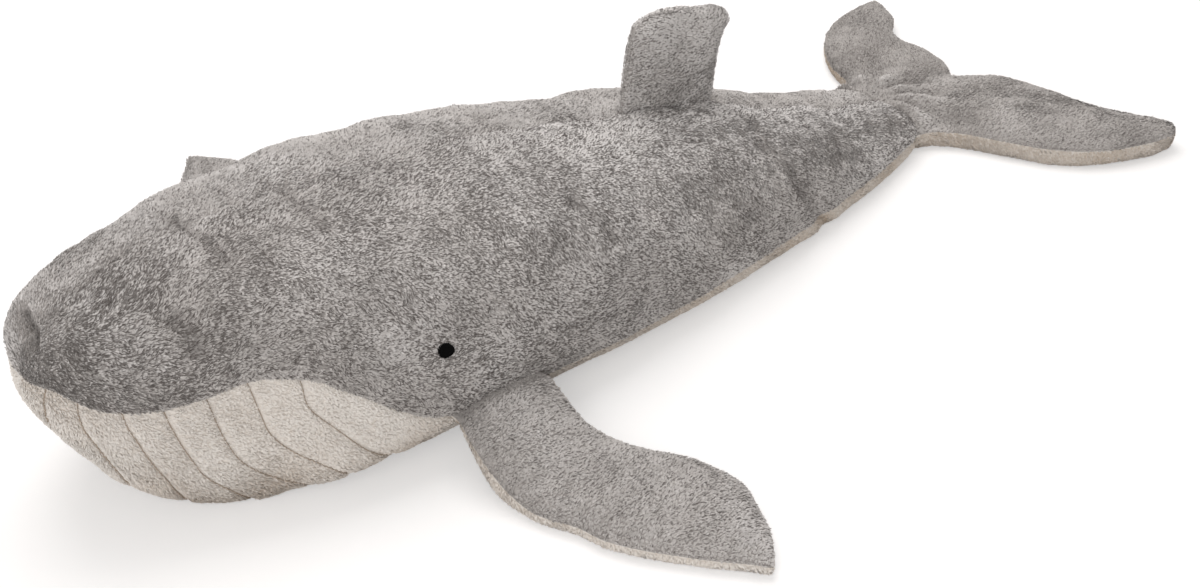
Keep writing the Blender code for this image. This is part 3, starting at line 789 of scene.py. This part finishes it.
def settled_wrinkles():
    """How far the body's stuffed cloth moves out as it settles, on a grid of places and turns.
    Only its wrinkles are kept: the wide swelling is already in the body's shape."""
    place = np.linspace(*SETTLE_ENDS, SETTLE_ROWS)[:, None]
    turn = np.linspace(-1, 3, SETTLE_TURNS, endpoint=False)[None, :]
    points = body_point(swept(place, turn), turn)
    normals = unit(np.cross(np.gradient(points, axis=1), np.gradient(points, axis=0)))
    points = points + normals * (LUMP_HEIGHT * ripple(points, LUMP_SIZE, LUMP_SEED))[..., None]

    # Seams, pleats and the roots of limbs hold the cloth
    held = root_depth(points) > SETTLE_HELD
    held[[0, -1]] = True
    held[:, [0, SETTLE_TURNS // 4, SETTLE_TURNS // 2]] = True
    for pleat in PLEAT_PLACES:
        if pleat > SETTLE_ENDS[0]:
            held[np.abs(place[:, 0] - pleat).argmin(), SETTLE_TURNS // 2:] = True

    mesh = bpy.data.meshes.new("settling")
    faces = ring_faces(SETTLE_ROWS, SETTLE_TURNS).tolist()
    mesh.from_pydata(points.reshape(-1, 3).tolist(), [], faces)
    cloth = placed("settling", mesh)
    cloth.vertex_groups.new(name="held").add(np.nonzero(held.ravel())[0].tolist(), 1.0, "REPLACE")
    settings = cloth.modifiers.new("settling", "CLOTH").settings
    settings.vertex_group_mass = "held"
    settings.tension_stiffness = settings.compression_stiffness = SETTLE_STIFFNESS
    settings.shear_stiffness = SETTLE_STIFFNESS / 2
    settings.use_pressure = True
    settings.uniform_pressure_force = SETTLE_PRESSURE
    settings.effector_weights.gravity = 0
    settings.shrink_min = settings.shrink_max = -SETTLE_GROWTH
    for number in range(1, SETTLE_FRAMES + 1):
        SCENE.frame_set(number)
    settled = cloth.evaluated_get(bpy.context.evaluated_depsgraph_get())
    moved = np.empty(points.size, np.float32)
    settled.data.vertices.foreach_get("co", moved)
    SCENE.frame_set(1)
    bpy.data.objects.remove(cloth)
    bpy.data.meshes.remove(mesh)

    moves = np.sum((moved.reshape(points.shape) - points) * normals, axis=2)
    wide = moves
    for _ in range(SETTLE_ROUNDS):
        wide = (wide + np.roll(wide, 1, axis=1) + np.roll(wide, -1, axis=1)) / 3
        edged = np.pad(wide, ((1, 1), (0, 0)), mode="edge")
        wide = (edged[:-2] + edged[1:-1] + edged[2:]) / 3
    sides = smooth((1 - turn) / SETTLE_SEAM_FADE) * smooth((turn + 1) / SETTLE_SEAM_FADE)
    throat = rising(np.abs(turn - 2), *SETTLE_THROAT_TURNS)
    throat = throat * (station_of(place) < THROAT_STATION_SHARE)
    fine = (moves - wide) * np.maximum(sides, throat)
    return SETTLE_MOST * np.tanh(fine / SETTLE_MOST)


def read_wrinkles(wrinkles, place, turn):
    """The wrinkles read at a grid of places and turns."""
    part = np.clip((place - SETTLE_ENDS[0]) / (SETTLE_ENDS[1] - SETTLE_ENDS[0]), 0, 1)
    part, column = np.broadcast_arrays(part, (turn + 1) / 4 * SETTLE_TURNS)
    top, down = cell_of(part, SETTLE_ROWS)
    left = np.floor(column).astype(int)
    beside = (left + 1) % SETTLE_TURNS
    return between(wrinkles, top, left % SETTLE_TURNS, beside, down, column - left)


def body_surface(first_turn, last_turn, wrinkles):
    """One panel of the body, drawn in along its seams and lumpy from its filling."""
    place = np.linspace(*BODY_ENDS, steps_in(BODY_LENGTH, 1.6))[:, None]
    girth = lengths(np.diff(body_point(0.45, np.linspace(first_turn, last_turn, 40)), axis=0))
    turn = np.linspace(first_turn, last_turn, steps_in(girth.sum()))[None, :]
    points = body_point(swept(place, turn), turn)
    station = station_of(place)
    lower = 1 - smooth((np.abs(turn) - 0.40 - 0.3 * station) / 0.3)
    nap = NAP_DOWN * rising(station, *NAP_STATIONS) * (rising(np.abs(turn), *NAP_TURNS) * lower)
    surface = Surface(points, nap * (np.sign(turn) if first_turn < 1 else 0))
    depth = SKIN_INSET + SEAM_DIP * np.exp(-(surface.edge_distance() / SEAM_REACH) ** 2)
    depth += fold_depth(points) + root_depth(points)
    depth -= read_wrinkles(wrinkles, place, turn)
    lumps = LUMP_HEIGHT * ripple(points, LUMP_SIZE, LUMP_SEED)
    lumps += RUMPLE_HEIGHT * ripple(points, RUMPLE_SIZE, RUMPLE_SEED)
    calm = CALM_SHARE * rising(station, *CALM_STATIONS) * rising(np.abs(turn), *CALM_TURNS)
    depth -= lumps * (1 - calm)
    # Painted shade in the folds, darker where they draw in deeper
    surface.shade = -CREASE_SHADE * fold_depth(points, 0)
    if first_turn == 1:
        # The belly's pile is darker and browner towards the floor
        surface.shade -= BELLY_LOW_DARKENING * (1 - smooth(points[..., 2] / BELLY_LOW_DARKENING_HEIGHT))
        tuck = pleat_distance(points, place)
        depth += PLEAT_TUCK * np.exp(-(tuck / PLEAT_TUCK_REACH) ** 2)
        surface.growth = np.clip(SHORT_PILE + tuck / SHORT_PILE_REACH, 0, 1)
        surface.growth[tuck < PLEAT_THREAD_RADIUS * 2] = 0
    surface.press(depth)
    surface.sway()
    return surface


def pleat_distance(points, place):
    """How far each point of the belly grid is from the nearest pleat, which lies along a row."""
    along = np.gradient(points, axis=0) / np.gradient(place, axis=0)[..., None]
    across = unit(np.gradient(points, axis=1))
    speed = lengths(np.cross(along, across))
    nearest = np.min(np.abs(place - PLEAT_PLACES), axis=1, keepdims=True)
    return nearest * speed


def tube(points, radius, sides=6):
    """Points and faces of a tube along a line of points, open at both ends."""
    ahead = unit(np.gradient(points, axis=0))
    first = unit(np.cross(ahead, (0.31, 0.17, 0.93)))
    second = np.cross(ahead, first)
    angle = np.linspace(0, math.tau, sides, endpoint=False)[:, None]
    rim = np.cos(angle) * first[:, None] + np.sin(angle) * second[:, None]
    rings = points[:, None] + rim * np.broadcast_to(radius, (len(points),))[:, None, None]
    return rings.reshape(-1, 3), ring_faces(len(points), sides)


def joined(parts):
    """Several lists of points and faces as one."""
    points, faces = zip(*parts)
    starts = np.cumsum([0, *map(len, points)])
    faces = [some + start for some, start in zip(faces, starts)]
    return np.concatenate(points), np.concatenate(faces)


def add_pleat_threads(surface):
    """The running stitch that draws in each throat pleat, from seam to seam."""
    first, last = BODY_ENDS
    threads = []
    for pleat in PLEAT_PLACES:
        row = (pleat - first) / (last - first) * (len(surface.points) - 1)
        upper, part = int(row), row - int(row)
        line = surface.points[upper] * (1 - part) + surface.points[upper + 1] * part
        out = unit(surface.normals[upper])
        run = np.concatenate(([0], np.cumsum(lengths(np.diff(line, axis=0)))))
        steps = np.linspace(0, run[-1], int(run[-1] / PLEAT_STITCH * PLEAT_STITCH_STEPS))
        line, out = (np.stack([np.interp(steps, run, part) for part in values.T], axis=1)
                     for values in (line, out))
        rise = PLEAT_THREAD_RISE + PLEAT_THREAD_WAVE * np.cos(steps / PLEAT_STITCH * math.tau)
        line = line + out * rise[:, None]
        line[:, 2] = np.maximum(line[:, 2], 2 * PLEAT_THREAD_RADIUS)
        threads.append(tube(line, PLEAT_THREAD_RADIUS))
    new_mesh("throat_pleat_threads", *joined(threads), PLEAT_THREAD, "body", "cream_plush")


def add_body():
    eye = np.array(eye_seat()[0])
    # Each panel: name, first and last turn, slot, then its pile's seed, painted light (how much
    # lighter its pile is painted for how the light falls on it), nap curl and pits
    panels = (("left_side", 0, 1, "grey_plush", 21, 0.17, 0.36, 1.05),
              ("right_side", -1, 0, "grey_plush", 31, 0.20, 0.30, 0.35),
              ("belly", 1, 3, "cream_plush", 41, 0.02, 0.12, 0.0))
    surfaces, wrinkles = [], settled_wrinkles()
    for name, first, last, slot, *pile in panels:
        surface = body_surface(first, last, wrinkles)
        surfaces.append(surface)
        if name == "belly":
            add_pleat_threads(surface)
        else:
            away = lengths(surface.points * (1, -1 if first < 0 else 1, 1) - eye)
            surface.growth = np.where(away < EYE_LENGTH * EYE_CLEAR_SHARE, 0, surface.growth)
        station = station_at(surface.points)
        # Painted light on the right side's pile, fading towards the tail
        if name == "right_side":
            surface.shade -= fade(station, *RIGHT_REAR_SHADE)
        if name == "left_side":
            # Painted light and shade on the left side: lighter on the upper rear and the tail,
            # painting out the dorsal fin's shadow; darker low down; darker at the head and lighter at
            # the rear
            turn = np.linspace(0, 1, surface.points.shape[1])
            back, reach = LEFT_BACK_TURNS
            upper = np.maximum(smooth((back - turn) / reach), fade(station, *LEFT_TAIL_PART))
            surface.shade -= fade(turn, *LEFT_LOW_SHADE)
            surface.shade += fade(station, *LEFT_BACK_SHADE) * upper
            surface.shade += fade(station, *LEFT_REAR_SHADE) - LEFT_REAR_SHADE[0] / 2
            surface.growth *= 1 + LONG_PILE[0] - fade(station, *LONG_PILE)
        surface.growth *= np.clip(SHORT_PILE + surface.edge_distance() / SHORT_PILE_REACH, 0, 1)
        add_skin(f"{name}_skin", surface, "body", f"{name}_panel", slot)
        add_pile(f"{name}_pile", surface, "body", slot, *pile)
    add_wadding("body_filling", "body", surfaces)


# Eyes

def eye_seat():
    """The middle of the left eye on the skin, with the directions out, forward and up."""
    place = place_of(EYE_STATION_SHARE)
    turn = turn_at(place, BODY_HEIGHT * EYE_HEIGHT_SHARE)
    spot = body_point(place, turn)
    along = body_point(place + 0.004, turn) - body_point(place - 0.004, turn)
    around = body_point(place, turn + 0.02) - body_point(place, turn - 0.02)
    out = Vector(np.cross(around, along)).normalized()
    forward = -Vector(along).normalized()
    return Vector(spot), out, forward, forward.cross(out).normalized()


def add_eye(name, side):
    """Satin stitch: threads side by side over an oval, each arching from edge to edge."""
    centre, out, forward, up = (np.array(vector) for vector in eye_seat())
    random = np.random.default_rng(51)
    threads = []
    for reach in np.linspace(-0.94, 0.94, EYE_THREADS):
        half = EYE_HEIGHT / 2 * math.sqrt(1 - reach * reach) * random.uniform(0.94, 1.12)
        steps = np.linspace(-1, 1, 11)
        arch = np.sqrt(np.clip(1 - steps**4, 0, 1)) * EYE_RISE * math.sqrt(1 - reach * reach / 2)
        line = centre + forward * (reach * EYE_LENGTH / 2) + up * (steps * half)[:, None]
        line = line + forward * (0.0004 * steps)[:, None] + out * (arch + 0.0004)[:, None]
        radius = EYE_LENGTH / EYE_THREADS * 0.62 * np.sqrt(np.clip(1.15 - steps**6, 0, 1))
        threads.append(tube(line, radius))
    points, faces = joined(threads)
    points[:, 1] *= side
    piece = new_mesh(f"{name}_stitches", points, faces, BLACK_THREAD, "body", "black_thread")
    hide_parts(name)


# Limbs

def round_off(gap, reach):
    """A quarter of an ellipse: 0 at the edge seam, 1 from that reach inwards."""
    return np.sqrt(np.clip(1 - (1 - np.clip(gap / reach, 0, 1)) ** 2, 0, 1))


class Limb:
    """A sewn limb: its seat on the body, its plan, and how its edge seam rises over the seat."""

    def __init__(self, joint, axes, plan, border, on_border, core, seam_rise):
        self.start = np.array(JOINTS[joint]["pos_m"], float)
        self.along, self.outward, self.upward = np.array(axes, float)
        self.border = np.stack([np.concatenate(part) for part in zip(*border)], axis=1)
        self.plan, self.on_border, self.core, self.seam_rise = plan, on_border, core, seam_rise
        self.facing = int(np.sign(np.cross(self.along, self.outward) @ self.upward))

    def skin(self, face, row, column, thickness, nap_angle, seed):
        """The skin on one side, as high over the edge seam as thickness says."""
        along, out = self.plan(row, column)
        spots = np.stack((along, out), axis=2)
        gap = np.array([lengths(spot[:, None] - self.border[None]).min(axis=1) for spot in spots])
        gap[self.on_border(row, column)] = 0
        seat = (self.start + along[..., None] * self.along + out[..., None] * self.outward
                + self.seam_rise(along, out)[..., None] * self.upward)
        points = seat + face * thickness(along, out, gap)[..., None] * self.upward
        surface = Surface(points, nap_angle, face * self.facing)
        lumps = 0.0011 * ripple(points, 0.06, seed) + 0.0004 * ripple(points, 0.02, seed + 1)
        bulge = UNDER_BULGE * np.sin(math.pi * np.clip(gap / UNDER_REACH, 0, 1))
        bulge = bulge * (face < 0) * (self.outward[2] == 0)
        surface.press((LIMB_INSET - lumps) * smooth(gap / FLAT_EDGE) - bulge)
        low, high, wide = self.core
        rows, columns = (row[:, 0] > low) & (row[:, 0] < high), np.abs(column[0]) < wide
        inside, seat = surface.inside[rows][:, columns], seat[rows][:, columns]
        inside[:, 0], inside[:, -1], inside[-1] = seat[:, 0], seat[:, -1], seat[-1]
        if low > 0:
            inside[0] = seat[0]
        surface.inside = inside
        if self.outward[1] != 0:
            # Painted shade in the crease along the flipper's root
            surface.shade = -ROOT_SHADE * np.exp(-(out / ROOT_SHADE_REACH) ** 2)
            surface.growth = np.clip(0.55 + out / ROOT_CREASE, 0, 1)
        return surface

    def skins(self, labels, row, column, heights, nap_angle, seed):
        """Both skins, each with its label, its slot and the seed of its pile."""
        return [(label, self.skin(face, row, column, height, nap_angle, seed),
                 "cream_plush" if label == "under" else "grey_plush", seed + number)
                for number, face, label, height in zip((2, 3), (1, -1), labels, heights)]

    def blend(self, name, inner, outer):
        places = (tuple(self.start + self.outward * reach) for reach in (inner, outer))
        return "body", name, *places


def chord_plan(length, chord, stations, fronts, rears):
    """A limb's plan, whose rows lie along its length, its border, which places of the plan lie on
    the border, and the rows and columns that the filling takes."""
    def plan(row, column):
        inner = np.clip(row, 0, 1)
        front, rear = (chord * through(stations, shares, inner) for shares in (fronts, rears))
        half = (rear - front) / 2 - LIMB_INSET
        return (front + rear) / 2 + column * half, (length - LIMB_INSET) * row + 0 * column

    run = np.linspace(-0.1, 1, 220)
    tip = np.linspace(-1, 1, 60)
    edges = plan(run, -1 + 0 * run), plan(1 + 0 * tip, tip), plan(run, 1 + 0 * run)
    return (plan, edges, lambda row, column: (np.abs(column) > ALMOST) | (row > ALMOST),
            (-1.0, 0.95, 0.88))


def fluke_plan():
    """The same for the two joined flukes, whose rows lie along the span from front to rear."""
    def edge(number, column):
        left, right = (through(outline[0], outline[number], side * column)
                       for outline, side in ((FLUKE_OUTLINE, -1), (RIGHT_FLUKE_OUTLINE, 1)))
        return FLUKE_LENGTH * np.where(column < 0, left, right)

    def plan(row, column):
        front, rear = edge(1, column), edge(2, column)
        neck = smooth((FLUKE_NECK_SHARE - np.abs(column)) / FLUKE_NECK_BLEND_SHARE)
        front = front - FLUKE_HIDDEN * neck
        return (column * (FLUKE_SPAN / 2 - LIMB_INSET) + 0 * row,
                front + LIMB_INSET + row * (rear - front - 2 * LIMB_INSET))

    span, chord = np.linspace(-1, 1, 500), np.linspace(0, 1, 30)
    side = np.linspace(FLUKE_NECK_SHARE - 0.7 * FLUKE_NECK_BLEND_SHARE, 1, 300)
    edges = (plan(0 * side, -side), plan(0 * side, side), plan(1 + 0 * span, span),
             plan(chord, -1 + 0 * chord), plan(chord, 1 + 0 * chord))

    def on_border(row, column):
        bare = (row < 1 - ALMOST) & (np.abs(column) >= side[0])
        return (np.abs(column) > ALMOST) | (row > ALMOST) | bare

    return plan, edges, on_border, (0.06, 0.93, 0.93)


# shade: painted light, how much lighter a limb's grey pile is painted for how the light falls on it;
# its cream underside is painted darker, as shade
def add_limb_skins(name, body, skins, shade=0.14, pits=0.17):
    for label, surface, slot, seed in skins:
        looks = (shade, 0.25, pits) if slot == "grey_plush" else (shade - LIMB_UNDER_SHADE, 0.25, 0.0)
        add_skin(f"{name}_{label}_skin", surface, body, f"{name}_{label}_panel", slot)
        add_pile(f"{name}_{label}_pile", surface, body, slot, seed, *looks)
    add_wadding(f"{name}_filling", body, [surface for _, surface, _, _ in skins])


def plan_grid(length, chord, finer):
    """Rows from the hidden root to the tip and columns from edge to edge, closer at the edges."""
    first, quarter = -ROOT_HIDDEN / length, math.pi / 2
    row = first + (1 - first) * np.sin(np.linspace(0, quarter, steps_in(length, finer)))
    return row[:, None], np.sin(np.linspace(-quarter, quarter, steps_in(chord, 1.5)))[None, :]


def from_root(height, out, reach=ROOT_REACH):
    """A height that starts as the root's own."""
    return ROOT_HALF_HEIGHT + (height - ROOT_HALF_HEIGHT) * smooth(out / reach)


def add_flipper(name, side, seed):
    outline = chord_plan(FLIPPER_LENGTH, FLIPPER_CHORD, *FLIPPER_OUTLINE)
    drop = FLIPPER_EDGE_HEIGHT - JOINTS[f"{name}_raise"]["pos_m"][2]
    limb = Limb(f"{name}_raise", ((1, 0, 0), (0, side, 0), (0, 0, 1)), *outline,
                lambda along, out: drop * smooth(out / (FLIPPER_LENGTH * FLIPPER_DROOP)))

    def top(along, out, gap):
        return from_root(FLIPPER_TOP_SWELL, out) * round_off(gap, TOP_REACH)

    def under(along, out, gap):
        full = limb.start[2] + limb.seam_rise(along, out)
        return from_root(full, out) * round_off(gap, UNDER_REACH)

    grid = plan_grid(FLIPPER_LENGTH, FLIPPER_CHORD, 1.3)
    skins = limb.skins(("top", "under"), *grid, (top, under), FLIPPER_NAP, seed)
    add_limb_skins(name, limb.blend(name, 0.001, 0.022), skins)


def add_fin():
    outline = chord_plan(FIN_HEIGHT, FIN_CHORD, *FIN_OUTLINE)
    ahead = JOINTS["dorsal_fin_lean"]["axis"]
    limb = Limb("dorsal_fin_lean", (ahead, (-ahead[2], 0, ahead[0]), (0, -1, 0)), *outline,
                lambda along, out: 0 * out)

    def half(along, out, gap):
        return from_root(FIN_SWELL, out, FIN_HEIGHT / 2) * round_off(gap, TOP_REACH / 2)

    grid = plan_grid(FIN_HEIGHT, FIN_CHORD, 1.5)
    skins = limb.skins(("left", "right"), *grid, (half, half), FIN_NAP, 61)
    for _, surface, _, _ in skins:
        surface.sway()
    add_limb_skins("dorsal_fin", limb.blend("dorsal_fin", 0.001, 0.018), skins, 0.36, 0.42)


def add_flukes():
    rise = FLUKE_EDGE_HEIGHT - JOINTS["flukes_lift"]["pos_m"][2]
    limb = Limb("flukes_lift", ((0, 1, 0), (1, 0, 0), (0, 0, 1)), *fluke_plan(),
                lambda along, out: rise - RIGHT_FLUKE_DROP * smooth(along / 0.12))
    station = (limb.start[0] - NECK_COVER - SNOUT_X) / BODY_LENGTH
    section = body_point(place_of(station), np.linspace(0, 1, TABLE_TURNS))

    def gathers(along, out):
        """Folds that fan out from the end of the back seam."""
        far = np.hypot(along, out + GATHER_BACK)
        fan = np.cos(np.arctan2(along, out + GATHER_BACK) * GATHER_FOLDS + 0.6)
        return GATHER_HEIGHT * fan * rising(far, *GATHER_START) * np.exp(-(far / GATHER_REACH) ** 2)

    def top(along, out, gap):
        """The root goes on from the body's last full section."""
        neck = np.interp(np.abs(along), -section[:, 1], section[:, 2]) + NECK_PROUD
        neck = neck - limb.start[2] - limb.seam_rise(along, out)
        neck = neck - NECK_DIVE * smooth((-NECK_COVER - out) / (FLUKE_HIDDEN - NECK_COVER))
        blade = FLUKE_TOP_SWELL * round_off(gap, TOP_REACH)
        blade = blade + (neck * round_off(gap, NECK_ROUND) - blade) * (1 - rising(out, *NECK_FADE))
        return blade + gathers(along, out) * smooth(gap / 0.02)

    def under(along, out, gap):
        return (limb.start[2] + limb.seam_rise(along, out)) * round_off(gap, UNDER_REACH)

    row = ((1 - np.cos(np.linspace(0, math.pi, steps_in(FLUKE_LENGTH, 1.2)))) / 2)[:, None]
    column = np.linspace(-1, 1, steps_in(FLUKE_SPAN, 1.15))[None, :]
    nap = FLUKE_NAP * np.sign(column) * smooth(np.abs(column) / 0.3)
    skins = limb.skins(("top", "under"), row, column, (top, under), nap, 71)
    for _, surface, _, _ in skins:
        # Painted shade in the gathers' troughs and painted light on their crests
        if surface.outward == limb.facing:
            surface.shade += GATHER_SHADE * gathers(*limb.plan(row, column))
        # Painted shade: the right fluke is painted darker
        surface.shade -= RIGHT_FLUKE_SHADE * smooth(surface.points[..., 1] / 0.10)
        surface.turn(limb.start, FLUKE_YAW)
    add_limb_skins("flukes", limb.blend("flukes", -0.008, 0.035), skins, 0.0)


# Filling

def add_wadding(node, body, surfaces):
    """Loose fibre filling that fills the skins, just inside them."""
    sheets = []
    for surface in surfaces:
        points = surface.inside[::2, ::2]
        faces = grid_faces(*points.shape[:2], surface.outward)
        sheets.append((np.maximum(points, LOWEST_WADDING).reshape(-1, 3), faces))
    piece = new_mesh(f"{node}_wadding", *joined(sheets), WADDING, body, "filling")
    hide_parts(node)


# Floor, light and camera

VIEW_AZIMUTH = math.radians(-41.6)
VIEW_ELEVATION = math.radians(33.27)
VIEW_DISTANCE = 1.392
VIEW_TARGET = (0.4464 + SNOUT_X, -0.0343, 0.0)
LENS_MM = 54
LAMP_TARGET = (0, 0, 0.05)
FLOOR_SIZE = 12.0
LIGHT_COLOUR = (1.0, 0.985, 0.97)


def add_floor():
    corners = [(x * FLOOR_SIZE, y * FLOOR_SIZE, 0) for x, y in ((-1, -1), (1, -1), (1, 1), (-1, 1))]
    mesh = bpy.data.meshes.new("floor")
    mesh.from_pydata(corners, [], [(0, 1, 2, 3)])
    floor = placed("floor", mesh)
    material, tree = new_material("white_floor")
    plain = add_node(tree, "BsdfDiffuse", "BSDF", {"Color": (0.80, 0.80, 0.80, 1)})
    seen = add_node(tree, "BsdfDiffuse", "BSDF", {"Color": (0.71, 0.695, 0.69, 1)})
    glow = add_node(tree, "Emission", "Emission", {"Strength": 0.41})
    both = add_node(tree, "AddShader", "Shader", {0: seen, 1: glow})
    ray = add_node(tree, "LightPath", "Is Camera Ray")
    pick = add_node(tree, "MixShader", "Shader", {"Fac": ray, 1: plain, 2: both})
    add_node(tree, "OutputMaterial", None, {"Surface": pick})
    mesh.materials.append(material)


def add_world():
    world = bpy.data.worlds.new("studio")
    SCENE.world = world
    tree = emptied_tree(world)
    light, white = (
        add_node(tree, "Background", "Background", {"Color": (*colour, 1), "Strength": strength})
        for colour, strength in ((LIGHT_COLOUR, 0.42), ((1, 1, 1), 1.0)))
    ray = add_node(tree, "LightPath").outputs
    seen = ray["Is Camera Ray"]
    for name in ("Is Glossy Ray", "Is Transmission Ray"):
        seen = add_node(tree, "Math", "Value", {0: seen, 1: ray[name]}, operation="MAXIMUM")
    pick = add_node(tree, "MixShader", "Shader", {"Fac": seen, 1: light, 2: white})
    add_node(tree, "OutputWorld", None, {"Surface": pick})


def aimed(name, data, place, towards):
    item = placed(name, data)
    item.location = place
    item.rotation_euler = towards.to_track_quat("-Z", "Y").to_euler()
    return item


def add_lamp(name, place, size, power, colour):
    """A square soft box that faces the whale."""
    lamp = bpy.data.lights.new(name, "AREA")
    lamp.size, lamp.energy, lamp.color = size, power, colour
    aimed(name, lamp, place, Vector(LAMP_TARGET) - Vector(place))


def add_camera():
    data = bpy.data.cameras.new("camera")
    data.lens, data.sensor_width = LENS_MM, 36
    data.clip_start, data.clip_end = 0.01, 100
    back = Vector((math.sin(VIEW_AZIMUTH) * math.cos(VIEW_ELEVATION),
                   -math.cos(VIEW_AZIMUTH) * math.cos(VIEW_ELEVATION), math.sin(VIEW_ELEVATION)))
    SCENE.camera = aimed("camera", data, Vector(VIEW_TARGET) + back * VIEW_DISTANCE, -back)


add_camera()
add_floor()
add_world()
add_lamp("overhead", (0.15, 0.58, 1.83), 1.6, 23.3, LIGHT_COLOUR)
add_lamp("front_fill", (-1.7, -1.3, 1.1), 1.6, 20, (1.0, 0.99, 0.98))
SCENE.view_settings.view_transform = "Standard"

add_body()
add_eye("left_eye", 1)
add_eye("right_eye", -1)
add_flipper("left_flipper", -1, 101)
add_flipper("right_flipper", 1, 111)
add_fin()
add_flukes()
bpy.context.view_layer.update()
